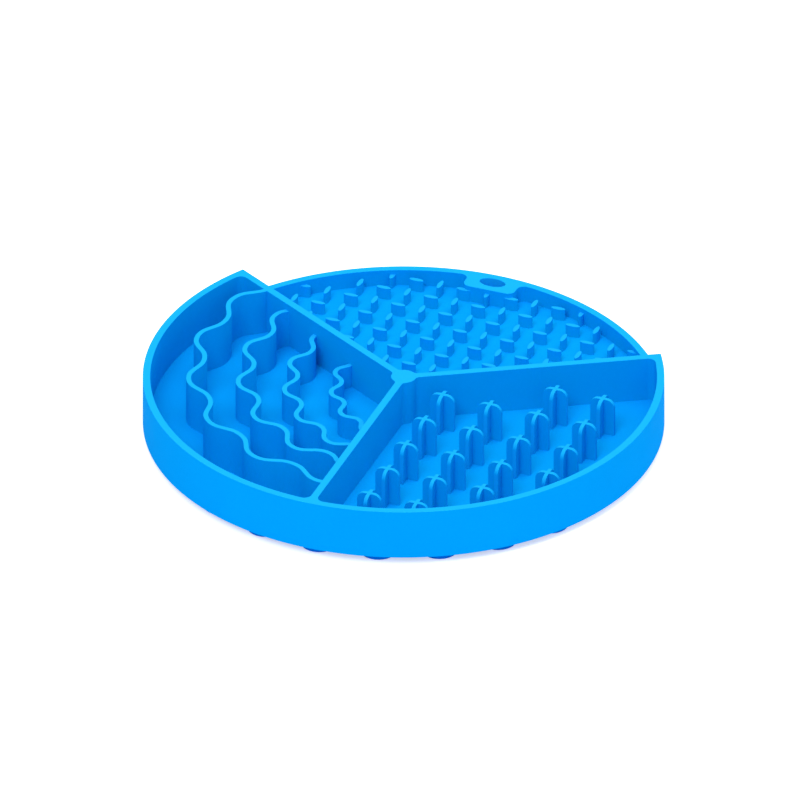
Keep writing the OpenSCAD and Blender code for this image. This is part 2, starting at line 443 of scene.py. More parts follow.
class NodeBuilder:
    """Adds and joins shader nodes in one node tree."""

    column_width: float = 190.0

    def __init__(self, tree: bpy.types.NodeTree) -> None:
        """Takes the tree to build in."""
        self.tree = tree
        self.column = 0

    @classmethod
    def cleared(cls, holder: bpy.types.Material | bpy.types.World) -> "NodeBuilder":
        """Empties the node tree of a material or a world.

        Args:
            holder: The material or the world.

        Returns:
            A builder for its tree.
        """
        holder.use_nodes = True
        holder.node_tree.nodes.clear()
        return cls(holder.node_tree)

    def add(self, kind: str, values: dict | None = None, **settings: object) -> bpy.types.Node:
        """Adds a node.

        Args:
            kind: The node's type name.
            values: Default values by the input socket's name or number.
            settings: The node's own settings.

        Returns:
            The new node.
        """
        node = self.tree.nodes.new(kind)
        node.location = (self.column_width * self.column, 0.0)
        self.column += 1
        for name, setting in settings.items():
            setattr(node, name, setting)
        for socket, value in (values or {}).items():
            node.inputs[socket].default_value = value
        return node

    def join(self, *pairs: tuple[NodeSocket, NodeSocket]) -> None:
        """Links the output of each pair to its input."""
        for source, target in pairs:
            self.tree.links.new(source, target)


class GroupSocket(Enum):
    """Socket types that the finish groups use."""

    NUMBER = "NodeSocketFloat"
    COLOUR = "NodeSocketColor"
    VECTOR = "NodeSocketVector"


class FinishGroup:
    """A shader node group with named inputs and outputs."""

    mix_share: int = 0
    mix_colours: tuple[int, int] = (6, 7)
    mixed_colour: int = 2

    def __init__(
        self, name: str, inputs: dict[str, GroupSocket], outputs: dict[str, GroupSocket]
    ) -> None:
        """Makes the group and its sockets.

        Args:
            name: The group's name.
            inputs: The type of each input by its name.
            outputs: The type of each output by its name.
        """
        self.tree = bpy.data.node_groups.new(name, "ShaderNodeTree")
        for way, sockets in (("INPUT", inputs), ("OUTPUT", outputs)):
            for label, kind in sockets.items():
                self.tree.interface.new_socket(name=label, in_out=way, socket_type=kind.value)
        self.build = NodeBuilder(self.tree)
        self.source = self.build.add("NodeGroupInput").outputs
        self.sink = self.build.add("NodeGroupOutput").inputs

    def noise(self, place: NodeSocket, scale: float, detail: float) -> NodeSocket:
        """Adds a noise texture.

        Args:
            place: The coordinates that it reads.
            scale: Its scale.
            detail: Its detail.

        Returns:
            The noise's value.
        """
        node = self.build.add("ShaderNodeTexNoise", {"Scale": scale, "Detail": detail})
        self.build.join((place, node.inputs["Vector"]))
        return node.outputs["Fac"]

    def math(self, operation: str, *terms: NodeSocket | float, clamp: bool = False) -> NodeSocket:
        """Adds a sum, a product or another operation on numbers.

        Args:
            operation: The Math node's operation.
            terms: Sockets or numbers, in the node's order.
            clamp: Whether the result is kept between 0 and 1.

        Returns:
            The result.
        """
        node = self.build.add("ShaderNodeMath", operation=operation, use_clamp=clamp)
        for socket, term in zip(node.inputs, terms):
            if isinstance(term, NodeSocket):
                self.build.join((term, socket))
            else:
                socket.default_value = term
        return node.outputs[0]

    def blend(self, share: NodeSocket, first: NodeSocket, second: NodeSocket) -> NodeSocket:
        """Mixes two colours.

        Args:
            share: How much of the second colour shows.
            first: The first colour.
            second: The second colour.

        Returns:
            The mixed colour.
        """
        node = self.build.add("ShaderNodeMix", data_type="RGBA")
        first_input, second_input = (node.inputs[number] for number in self.mix_colours)
        self.build.join(
            (share, node.inputs[self.mix_share]), (first, first_input), (second, second_input)
        )
        return node.outputs[self.mixed_colour]


@dataclass(frozen=True)
class GrainScales:
    """How finely the moulded surface's patterns repeat, in repeats to the metre."""

    grain: float = 2600.0
    peel: float = 620.0
    speck: float = 900.0
    flow: float = 26.0
    cloud: float = 60.0
    # Scale of the noise that breaks up the painted highlight.
    highlight_noise: float = 150.0


class MouldedGrain(FinishGroup):
    """Fine frosted grain and orange peel of a silicone mould: a height and a roughness mask."""

    grain_detail: float = 2.0
    peel_detail: float = 1.0
    peel_share: float = 0.55
    rough_grain_share: float = 0.35

    def __init__(self, scales: GrainScales) -> None:
        """Builds the group.

        Args:
            scales: How finely the patterns repeat.
        """
        super().__init__(
            "moulded_grain",
            {"Place": GroupSocket.VECTOR},
            {"Height": GroupSocket.NUMBER, "Roughness Mask": GroupSocket.NUMBER},
        )
        place = self.source["Place"]
        grain = self.noise(place, scales.grain, self.grain_detail)
        peel = self.noise(place, scales.peel, self.peel_detail)
        height = self.math("MULTIPLY_ADD", peel, self.peel_share, grain)
        cloud = self.noise(place, scales.cloud, self.grain_detail)
        mask = self.math("MULTIPLY_ADD", grain, self.rough_grain_share, cloud)
        centred = self.math("SUBTRACT", mask, self.rough_grain_share / 2, clamp=True)
        self.build.join((height, self.sink["Height"]), (centred, self.sink["Roughness Mask"]))


class SiliconeTone(FinishGroup):
    """Drift and specks of the pigment, a painted shade tint within the mat and a painted highlight
    on the upper faces, broken up by noise.
    """

    flow_detail: float = 2.0
    noise_middle: float = 0.5
    drift_gain: float = 1.6
    speck_gain: float = 1.1
    highlight_noise_low: float = 0.8
    drift_share: float = 0.16

    def __init__(self, scales: GrainScales) -> None:
        """Builds the group.

        Args:
            scales: How finely the patterns repeat.
        """
        super().__init__(
            "silicone_tone",
            {
                "Place": GroupSocket.VECTOR,
                "Painted Highlight": GroupSocket.NUMBER,
                "Shade Tint": GroupSocket.NUMBER,
                "Body": GroupSocket.COLOUR,
                "Inside": GroupSocket.COLOUR,
                "Drifted": GroupSocket.COLOUR,
                "Highlight Colour": GroupSocket.COLOUR,
            },
            {"Colour": GroupSocket.COLOUR, "Highlight Mask": GroupSocket.NUMBER},
        )
        place = self.source["Place"]
        flow = self.noise(place, scales.flow, self.flow_detail)
        speck = self.noise(place, scales.speck, self.flow_detail)
        centred = self.math("SUBTRACT", flow, self.noise_middle)
        around = self.math("MULTIPLY_ADD", centred, self.drift_gain, self.noise_middle)
        fine = self.math("SUBTRACT", speck, self.noise_middle)
        drift = self.math("MULTIPLY_ADD", fine, self.speck_gain, around, clamp=True)
        # Painted shade: the tinted colour takes over with depth within the mat.
        plain = self.blend(self.source["Shade Tint"], self.source["Body"], self.source["Inside"])
        share = self.math("MULTIPLY", drift, self.drift_share)
        body = self.blend(share, plain, self.source["Drifted"])
        # Painted highlight: the paler colour on upper faces, broken up by noise.
        highlight_noise = self.noise(place, scales.highlight_noise, self.flow_detail)
        broken_highlight = self.math("MULTIPLY_ADD", highlight_noise, 1.0 - self.highlight_noise_low, self.highlight_noise_low, clamp=True)
        highlight_mask = self.math("MULTIPLY", self.source["Painted Highlight"], broken_highlight)
        colour = self.blend(highlight_mask, body, self.source["Highlight Colour"])
        self.build.join((colour, self.sink["Colour"]), (highlight_mask, self.sink["Highlight Mask"]))


@dataclass(frozen=True)
class SiliconeFinish:
    """Finish of one kind of surface on the mat, with the colours of its painted shade tint and its
    painted highlight.
    """

    name: str
    body: Colour
    # The second colour is a painted shade tint for deep within the mat. The third is a painted
    # highlight for upper faces.
    shade_tinted: Colour
    highlight_colour: Colour
    drifted: Colour = srgb(0, 128, 228)
    smooth: float = 0.58
    rough: float = 0.78
    grain_depth: float = 0.018 * MM
    grain_strength: float = 0.35
    gloss: float = 0.004

    def material(self, grain: MouldedGrain, tone: SiliconeTone) -> bpy.types.Material:
        """Makes the material.

        Args:
            grain: The group of the surface's grain.
            tone: The group of its colour.

        Returns:
            The material.
        """
        made = bpy.data.materials.new(self.name)
        build = NodeBuilder.cleared(made)
        place = build.add("ShaderNodeTexCoord").outputs["Object"]
        # Reads each vertex's shares of painted highlight and painted shade tint.
        painted_highlight, shade_tint = (
            build.add("ShaderNodeAttribute", attribute_name=name).outputs["Fac"]
            for name in (Moulding.painted_highlight_name, Moulding.shade_tint_name)
        )
        colours = {
            "Body": self.body,
            "Inside": self.shade_tinted,
            "Drifted": self.drifted,
            "Highlight Colour": self.highlight_colour,
        }
        grained = build.add("ShaderNodeGroup", node_tree=grain.tree)
        toned = build.add(
            "ShaderNodeGroup",
            {label: (*colour, 1.0) for label, colour in colours.items()},
            node_tree=tone.tree,
        )
        roughness = build.add(
            "ShaderNodeMapRange", {"To Min": self.smooth, "To Max": self.rough}
        )
        bump = build.add(
            "ShaderNodeBump", {"Strength": self.grain_strength, "Distance": self.grain_depth}
        )
        shader = build.add("ShaderNodeBsdfPrincipled", {"Specular IOR Level": self.gloss})
        output = build.add("ShaderNodeOutputMaterial")
        build.join(
            (place, grained.inputs["Place"]),
            (place, toned.inputs["Place"]),
            (painted_highlight, toned.inputs["Painted Highlight"]),
            (shade_tint, toned.inputs["Shade Tint"]),
            (grained.outputs["Roughness Mask"], roughness.inputs["Value"]),
            (grained.outputs["Height"], bump.inputs["Height"]),
            (toned.outputs["Colour"], shader.inputs["Base Color"]),
            (roughness.outputs["Result"], shader.inputs["Roughness"]),
            (bump.outputs["Normal"], shader.inputs["Normal"]),
            (shader.outputs["BSDF"], output.inputs["Surface"]),
        )
        return made


class Finish(Enum):
    """Kinds of surface on the mat, all of one silicone, whose colours differ by kind as painted
    light and shade.
    """

    WALL = SiliconeFinish(
        "silicone_wall",
        body=srgb(0, 163, 255),
        shade_tinted=srgb(0, 171, 228),
        highlight_colour=srgb(26, 179, 248),
    )
    FLOOR = SiliconeFinish(
        "silicone_floor",
        body=srgb(0, 163, 255),
        shade_tinted=srgb(5, 167, 241),
        highlight_colour=srgb(14, 175, 243),
        rough=0.82,
    )
    POST = SiliconeFinish(
        "silicone_post",
        body=srgb(0, 165, 251),
        shade_tinted=srgb(0, 170, 226),
        highlight_colour=srgb(26, 176, 248),
    )
    # Painted shade: the cups are the mat's own silicone, painted darker and bluer for the shade
    # under the base.
    CUP = SiliconeFinish(
        "silicone_cup_painted_shade",
        body=srgb(0, 139, 255),
        shade_tinted=srgb(0, 139, 255),
        highlight_colour=srgb(8, 150, 255),
        drifted=srgb(0, 116, 246),
        smooth=0.4,
        gloss=0.012,
    )


class FinishShelf:
    """Makes each finish's material once and hands it out."""

    def __init__(self) -> None:
        """Builds the shared node groups."""
        scales = GrainScales()
        self.grain = MouldedGrain(scales)
        self.tone = SiliconeTone(scales)
        self.made: dict[Finish, bpy.types.Material] = {}

    def material(self, finish: Finish) -> bpy.types.Material:
        """Gives the material of a finish.

        Args:
            finish: The finish.

        Returns:
            Its material.
        """
        if finish not in self.made:
            self.made[finish] = finish.value.material(self.grain, self.tone)
        return self.made[finish]


class Dresser:
    """Turns a finished mesh into a piece of the part."""

    normal_weight: int = 80

    def __init__(self, shelf: FinishShelf) -> None:
        """Takes the finishes."""
        self.shelf = shelf
        self.count = 0

    def dress(self, bm: BMesh, node: str, finish: Finish) -> None:
        """Makes the piece that stands for a node of the part.

        Args:
            bm: The piece's closed mesh, which is used up.
            node: Name of the node that it stands for.
            finish: Its surface.
        """
        bmesh.ops.dissolve_degenerate(bm, dist=TOUCHING, edges=bm.edges[:])
        for face in bm.faces:
            face.smooth = True
        for edge in bm.edges:
            edge.smooth = edge.calc_face_angle(0.0) < SHARP_ANGLE
        mesh = store(bm, f"{node}_moulded")
        mesh.materials.append(self.shelf.material(finish))
        piece = put_in_scene(mesh.name, mesh)
        weighted = piece.modifiers.new("flat_faces_stay_flat", "WEIGHTED_NORMAL")
        weighted.keep_sharp = True
        weighted.weight = self.normal_weight
        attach(piece, ROOT_BODY)
        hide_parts(node)
        self.count += 1
        LOG.info("%s: %d faces", mesh.name, len(mesh.polygons))


class SubAssembly:
    """Features of the mat that are built together and share one finish."""

    finish: ClassVar[Finish] = Finish.WALL

    def pieces(self) -> dict[str, BMesh]:
        """Makes each piece's mesh, by the name of its node."""
        raise NotImplementedError

    def dress(self, dresser: Dresser) -> None:
        """Builds the pieces and dresses them."""
        for node, bm in self.pieces().items():
            dresser.dress(bm, node, self.finish)


@dataclass
class WallFrame(SubAssembly):
    """Tall rim, hub and dividers: one continuous wall, cut into the pieces that it is named for."""

    sizes: MatSizes = SIZES
    near_wall: float = 0.2 * MM

    @property
    def dividers(self) -> dict[str, float]:
        """Direction of each divider by its name."""
        size = self.sizes
        return {
            "right_divider": size.right_angle,
            "left_divider": size.left_angle,
            "front_divider": size.front_angle,
        }

    def _round_hub(self, pen: Pen, right: float, left: float) -> None:
        """Draws the hub's side of a compartment, from its left divider's face to its right one's.

        Args:
            pen: The pen that draws the compartment.
            right: Direction of the divider on its right.
            left: Direction of the divider on its left.
        """
        size = self.sizes
        corner = QUARTER_TURN - size.hub_turn
        pen.line(beside(left, size.hub_u, -size.half_wall))
        pen.arc(beside(left, size.hub_u, -size.hub_v), corner)
        pen.arc(HUB, -(left - right - 2 * size.hub_turn))
        pen.arc(beside(right, size.hub_u, size.hub_v), corner)

    def _draw_pocket(self, bm: BMesh, right: float, left: float) -> None:
        """Draws a compartment's outline between two dividers.

        Args:
            bm: The mesh that it is drawn in.
            right: Direction of the divider on its right.
            left: Direction of the divider on its left.
        """
        size = self.sizes
        corner = QUARTER_TURN + size.root_turn
        pen = Pen(bm, beside(right, size.hub_u, size.half_wall))
        pen.line(beside(right, size.root_u, size.half_wall))
        pen.arc(beside(right, size.root_u, size.root_v), corner)
        pen.arc(HUB, left - right - 2 * size.root_turn)
        pen.arc(beside(left, size.root_u, -size.root_v), corner)
        self._round_hub(pen, right, left)
        pen.close()

    def _draw_outside(self, bm: BMesh) -> None:
        """Draws the outline round the rim and along the lens compartment's dividers.

        Args:
            bm: The mesh that it is drawn in.
        """
        size = self.sizes
        reach = math.sqrt(size.mat_r**2 - size.half_wall**2)
        past = math.degrees(math.asin(size.half_wall / size.mat_r))
        pen = Pen(bm, beside(size.right_angle, reach, size.half_wall))
        pen.arc(HUB, -(FULL_TURN - size.left_angle + size.right_angle + 2 * past))
        self._round_hub(pen, size.right_angle, size.left_angle)
        pen.close()

    def _owner(self, point: Vector) -> str:
        """Names the piece that a point of the wall belongs to.

        Args:
            point: The point.

        Returns:
            The name of the piece's node.
        """
        size = self.sizes
        for name, angle in self.dividers.items():
            along = point.dot(direction(angle))
            left = point.dot(direction(angle + QUARTER_TURN))
            if size.hub_u < along < size.root_u and abs(left) <= size.half_wall + self.near_wall:
                return name
        return "hub" if point.xy.length < size.hub_u + size.wall_t else "tall_rim"

    def pieces(self) -> dict[str, BMesh]:
        """Makes the wall's pieces.

        Returns:
            Each piece's mesh by the name of its node.
        """
        size = self.sizes
        whole = bmesh.new()
        self._draw_outside(whole)
        self._draw_pocket(whole, size.left_angle, size.front_angle)
        self._draw_pocket(whole, size.front_angle - FULL_TURN, size.right_angle)
        raise_by(whole, size.floor_z)
        fill_outlines(whole)
        Moulding(whole, size.rim_z, size.edge_r).grow().mark_painted_light()
        for angle in self.dividers.values():
            for along in (size.hub_u, size.root_u):
                cut(whole, beside(angle, along, 0.0), direction(angle), drop=False)
        return take_apart(whole, ("tall_rim", "hub", *self.dividers), self._owner)


@dataclass
class LowRim(SubAssembly):
    """Low rim round the lens compartment, with the hang tab and its oval hole."""

    sizes: MatSizes = SIZES
    tab_w: float = 21.5 * MM
    tab_reach: float = 8.75 * MM
    tab_corner_r: float = 3.0 * MM
    hole_l: float = 10.6 * MM
    hole_w: float = 5.8 * MM
    hole_wall: float = 3.0 * MM
    hole_sides: int = 64
    # Share of painted highlight on the wall of the hang hole.
    hole_highlight: float = 0.55

    @property
    def front_y(self) -> float:
        """Place of the tab's front face."""
        return self.sizes.pocket_r - self.tab_reach

    @property
    def hole_middle(self) -> Vector:
        """Middle of the hang hole."""
        return BACK * (self.front_y + self.hole_wall + self.hole_w / 2)

    @property
    def corner_x(self) -> float:
        """Distance from the tab's middle to the centre of the corner between it and the rim."""
        return self.tab_w / 2 + self.tab_corner_r

    @property
    def corner_y(self) -> float:
        """Distance from the mat's middle line to the centre of that corner."""
        return math.sqrt((self.sizes.pocket_r - self.tab_corner_r) ** 2 - self.corner_x**2)

    @property
    def end_x(self) -> float:
        """Distance from the tab's middle to where it meets the rim."""
        return self.corner_x * self.sizes.pocket_r / (self.sizes.pocket_r - self.tab_corner_r)

    def draw_hole(self, bm: BMesh) -> None:
        """Draws the outline of the hang hole.

        Args:
            bm: The mesh that it is drawn in.
        """
        stretch = Matrix.Diagonal((self.hole_l / 2, self.hole_w / 2, 1.0, 1.0))
        place = Matrix.Translation(self.hole_middle) @ stretch
        bmesh.ops.create_circle(bm, segments=self.hole_sides, radius=1.0, matrix=place)

    def paint_hole_highlight(self, bm: BMesh) -> None:
        """Paints a highlight on the wall of the hang hole to lift its shade, and takes the painted
        shade tint off it.

        Args:
            bm: A mesh that the hole runs through, with its painted light marked.
        """
        marks = bm.verts.layers.float
        painted_highlight = marks.get(Moulding.painted_highlight_name) or marks.new(Moulding.painted_highlight_name)
        shade_tint = marks.get(Moulding.shade_tint_name)
        reach = self.hole_l / 2 + self.sizes.edge_r
        for vert in bm.verts:
            from_middle = vert.co.xy - self.hole_middle.xy
            if math.hypot(from_middle.x, from_middle.y * self.hole_l / self.hole_w) < reach:
                vert[painted_highlight] = max(vert[painted_highlight], self.hole_highlight)
                vert[shade_tint] = 0.0

    def _draw_rim(self, bm: BMesh) -> None:
        """Draws the rim's outline from divider to divider, and round the tab.

        Args:
            bm: The mesh that it is drawn in.
        """
        size = self.sizes
        straight = self.tab_w / 2 - self.tab_corner_r
        low_y = self.front_y + self.tab_corner_r
        corner = QUARTER_TURN + size.root_turn
        tab_bearing = bearing(Vector((self.corner_x, self.corner_y, 0.0)))
        stretch = tab_bearing - size.right_angle - size.root_turn
        pen = Pen(bm, beside(size.right_angle, size.mat_r, 0.0))
        pen.arc(HUB, size.left_angle - size.right_angle)
        pen.line(beside(size.left_angle, size.root_u, 0.0))
        pen.line(beside(size.left_angle, size.root_u, -size.half_wall))
        pen.arc(beside(size.left_angle, size.root_u, -size.root_v), -corner)
        pen.arc(HUB, -stretch)
        pen.arc(Vector((-self.corner_x, self.corner_y, 0.0)), tab_bearing - HALF_TURN)
        pen.line(Vector((-self.tab_w / 2, low_y, 0.0)))
        pen.arc(Vector((-straight, low_y, 0.0)), QUARTER_TURN)
        pen.line(Vector((straight, self.front_y, 0.0)))
        pen.arc(Vector((straight, low_y, 0.0)), QUARTER_TURN)
        pen.line(Vector((self.tab_w / 2, self.corner_y, 0.0)))
        pen.arc(Vector((self.corner_x, self.corner_y, 0.0)), tab_bearing - HALF_TURN)
        pen.arc(HUB, -stretch)
        pen.arc(beside(size.right_angle, size.root_u, size.root_v), -corner)
        pen.line(beside(size.right_angle, size.root_u, 0.0))
        pen.close()

    def _owner(self, point: Vector) -> str:
        """Names the piece that a point of the rim belongs to.

        Args:
            point: The point.

        Returns:
            The name of the piece's node.
        """
        if abs(point.x) < self.end_x:
            return "hang_tab"
        return "low_rim_left" if point.x < 0.0 else "low_rim_right"

    def pieces(self) -> dict[str, BMesh]:
        """Makes the two stretches of low rim and the tab between them.

        Returns:
            Each piece's mesh by the name of its node.
        """
        size = self.sizes
        whole = bmesh.new()
        self._draw_rim(whole)
        self.draw_hole(whole)
        raise_by(whole, size.floor_z)
        fill_outlines(whole)
        Moulding(whole, size.low_rim_z, size.edge_r).grow().mark_painted_light()
        self.paint_hole_highlight(whole)
        for angle, side in ((size.right_angle, 1.0), (size.left_angle, -1.0)):
            outward = -side * direction(angle + QUARTER_TURN)
            cut(whole, beside(angle, 0.0, side * size.half_wall), outward, drop=True)
        for x in (-self.end_x, self.end_x):
            cut(whole, RIGHT * x, RIGHT, drop=False)
        return take_apart(whole, ("low_rim_left", "hang_tab", "low_rim_right"), self._owner)


@dataclass
class Base(SubAssembly):
    """Round base under the compartments, with the lower end of the tab's hang hole."""

    finish: ClassVar[Finish] = Finish.FLOOR
    tab: LowRim = field(default_factory=LowRim)
    sizes: MatSizes = SIZES

    def pieces(self) -> dict[str, BMesh]:
        """Makes the base.

        Returns:
            The base's mesh by the name of its node.
        """
        size = self.sizes
        bm = bmesh.new()
        Pen(bm, RIGHT * size.mat_r).arc(HUB, FULL_TURN).close()
        self.tab.draw_hole(bm)
        raise_by(bm, size.floor_z)
        fill_outlines(bm)
        Moulding(bm, size.base_z, size.edge_r).grow()
        floor = [face for face in bm.faces if face.calc_center_median().z > size.floor_z - TOUCHING]
        bmesh.ops.inset_region(bm, faces=floor, thickness=size.half_wall, use_even_offset=True)
        # Painted shade tint over the whole floor of the compartments, then the painted highlight in
        # the hang hole.
        shade_tint = bm.verts.layers.float.new(Moulding.shade_tint_name)
        for vert in {vert for face in floor for vert in face.verts}:
            vert[shade_tint] = 1.0
        self.tab.paint_hole_highlight(bm)
        return {"base": bm}


@dataclass
class WaveRidge(SubAssembly):
    """One rippled ridge of the wave compartment."""

    node: str
    order: int
    setback_share: float
    sideways_share: float
    swing_share: float
    sizes: MatSizes = SIZES
    ridge_t: float = 2.0 * MM
    drop: float = 3.0 * MM
    rim_gap: float = 10.0 * MM
    step_share: float = 1.0 / 6.0
    ripples: int = 18
    steps_a_ripple: int = 36
    round_share: float = 0.055
    round_order: int = 3
    crest_angle: float = -5.0
    past_angle: float = 30.0

    @property
    def middle_angle(self) -> float:
        """Direction of the compartment's middle."""
        return (self.sizes.left_angle + self.sizes.front_angle) / 2

    @property
    def mean_r(self) -> float:
        """Mean radius of the ridge."""
        return (self.sizes.pocket_r - self.rim_gap) * (1.0 - self.step_share * self.order)

    @property
    def centre(self) -> Vector:
        """Centre of the ridge's arc, set back across the hub."""
        reach = -self.sizes.pocket_r
        return beside(
            self.middle_angle, self.setback_share * reach, self.sideways_share * reach
        )

    def _ripple(self, vert: BMVert) -> None:
        """Moves a vertex of the plain arc to its place on the rippled one.

        Args:
            vert: The vertex.
        """
        spoke = vert.co - self.centre
        turn = bearing(spoke)
        offset = spoke.length - self.mean_r
        swing = self.swing_share * self.mean_r
        phase = math.radians(self.ripples * (turn - self.middle_angle - self.crest_angle))
        fast = self.round_order * phase
        ripple = math.cos(phase) - self.round_share * math.cos(fast)
        ripple_slope = self.round_order * self.round_share * math.sin(fast) - math.sin(phase)
        radius = self.mean_r + swing * ripple
        slope = swing * self.ripples * ripple_slope
        along = slope * direction(turn) + radius * direction(turn + QUARTER_TURN)
        outward = along.cross(UP).normalized()
        vert.co = self.centre + radius * direction(turn) + offset * outward

    def pieces(self) -> dict[str, BMesh]:
        """Makes the ridge.

        Returns:
            The ridge's mesh by the name of its node.
        """
        size = self.sizes
        first = size.left_angle - self.past_angle
        turn = size.front_angle - size.left_angle + 2 * self.past_angle
        bm = bmesh.new()
        pen = Pen(bm, self.centre + (self.mean_r - self.ridge_t / 2) * direction(first))
        pen.line(self.centre + (self.mean_r + self.ridge_t / 2) * direction(first))
        bmesh.ops.spin(
            bm,
            geom=everything(bm),
            cent=self.centre,
            axis=UP,
            angle=math.radians(turn),
            steps=round(turn * self.ripples / FULL_TURN * self.steps_a_ripple),
        )
        for vert in bm.verts:
            self._ripple(vert)
        raise_by(bm, size.floor_z)
        top = size.rim_z - self.drop * self.order - (size.below if self.order == 0 else 0.0)
        Moulding(bm, top, size.edge_r).grow().mark_painted_light()
        trim_to_compartment(bm, size.left_angle, size.front_angle)
        return {self.node: bm}


def wave_ridges() -> tuple[WaveRidge, ...]:
    """Gives the four ridges of the wave compartment, from the rim inwards."""
    return (
        WaveRidge(
            "outer_wave_ridge",
            order=0,
            setback_share=0.085,
            sideways_share=0.031,
            swing_share=0.035,
        ),
        WaveRidge(
            "second_wave_ridge",
            order=1,
            setback_share=0.1325,
            sideways_share=0.038,
            swing_share=0.042,
        ),
        WaveRidge(
            "third_wave_ridge",
            order=2,
            setback_share=0.1575,
            sideways_share=0.015,
            swing_share=0.044,
        ),
        WaveRidge(
            "inner_wave_ridge",
            order=3,
            setback_share=0.1895,
            sideways_share=0.029,
            swing_share=0.046,
        ),
    )


@dataclass
class CrossPosts(SubAssembly):
    """Rows of cross-shaped posts with rounded arm ends."""

    finish: ClassVar[Finish] = Finish.POST
    sizes: MatSizes = SIZES
    arm_l: float = 10.0 * MM
    arm_t: float = 1.5 * MM
    height: float = 16.0 * MM
    corner_r: float = 3.2 * MM
    pitch: float = 20.0 * MM
    first: float = 17.5 * MM
    edge_r: float = 0.12 * MM
    # Share of painted highlight down each arm's end.
    end_highlight: float = 0.3
    corner_steps: int = 8
    columns: tuple[tuple[int, ...], ...] = (
        (2, 3),
        (0, 1, 2, 3),
        (0, 1, 2, 3),
        (0, 1, 2, 3),
        (0, 1, 2),
        (0, 1),
    )

    @property
    def corner_start(self) -> float:
        """Distance from a post's middle at which its rounded upper corners start."""
        return self.arm_l / 2 - self.corner_r

    def _plan(self, bm: BMesh) -> None:
        """Lays out the cross as a middle square with four arms that grow out from its sides.

        Args:
            bm: The mesh that it is laid out in.
        """
        half = self.arm_t / 2
        bmesh.ops.create_grid(bm, x_segments=1, y_segments=1, size=half)
        turns = [QUARTER_TURN * step / self.corner_steps for step in range(self.corner_steps + 1)]
        for edge in bm.edges[:]:
            way = sum((vert.co for vert in edge.verts), Vector()).normalized()
            tip, reached = [edge], half
            for turn in turns:
                stop = self.corner_start + self.corner_r * math.sin(math.radians(turn))
                grown = bmesh.ops.extrude_edge_only(bm, edges=tip)["geom"]
                verts = [part for part in grown if isinstance(part, BMVert)]
                tip = [part for part in grown if isinstance(part, BMEdge)]
                bmesh.ops.translate(bm, verts=verts, vec=way * (stop - reached))
                reached = stop

    def _round_ends(self, bm: BMesh, top: float) -> None:
        """Lets the arms' upper corners fall away in a quarter circle, fades their painted highlight
        as they turn down, and paints a highlight down the arms' ends.

        Args:
            bm: The post, with its painted light marked.
            top: Height of its upper face.
        """
        painted_highlight = bm.verts.layers.float.get(Moulding.painted_highlight_name)
        for vert in bm.verts:
            out = max(abs(vert.co.x), abs(vert.co.y)) - self.corner_start
            out = min(out, self.corner_r)
            if out > 0.0 and vert.co.z > top - self.edge_r - TOUCHING:
                rise = math.sqrt(self.corner_r**2 - out**2)
                vert.co.z -= self.corner_r - rise
                # Painted light: the highlight fades as the corner turns away from the top.
                vert[painted_highlight] *= rise / self.corner_r
            # Painted highlight down the arm's end face.
            if out > self.corner_r - TOUCHING:
                vert[painted_highlight] = max(vert[painted_highlight], self.end_highlight)

    def _post(self) -> BMesh:
        """Makes one post, standing on the floor at the middle of the mat.

        Returns:
            The post's mesh.
        """
        bm = bmesh.new()
        self._plan(bm)
        raise_by(bm, self.sizes.floor_z)
        top = self.sizes.floor_z + self.height
        Moulding(bm, top, self.edge_r).grow().mark_painted_light()
        self._round_ends(bm, top)
        return bm

    def pieces(self) -> dict[str, BMesh]:
        """Makes the rows of posts.

        Returns:
            Each row's mesh by the name of its node.
        """
        post = store(self._post(), "cross_post")
        made = {}
        for row, columns in enumerate(self.columns):
            bm = bmesh.new()
            for column in columns:
                x, y = self.first + self.pitch * column, self.first - self.pitch * row
                stamp(bm, post, Vector((x, y, 0.0)))
            made[f"cross_posts_row_{row + 1}"] = bm
        bpy.data.meshes.remove(post)
        return made


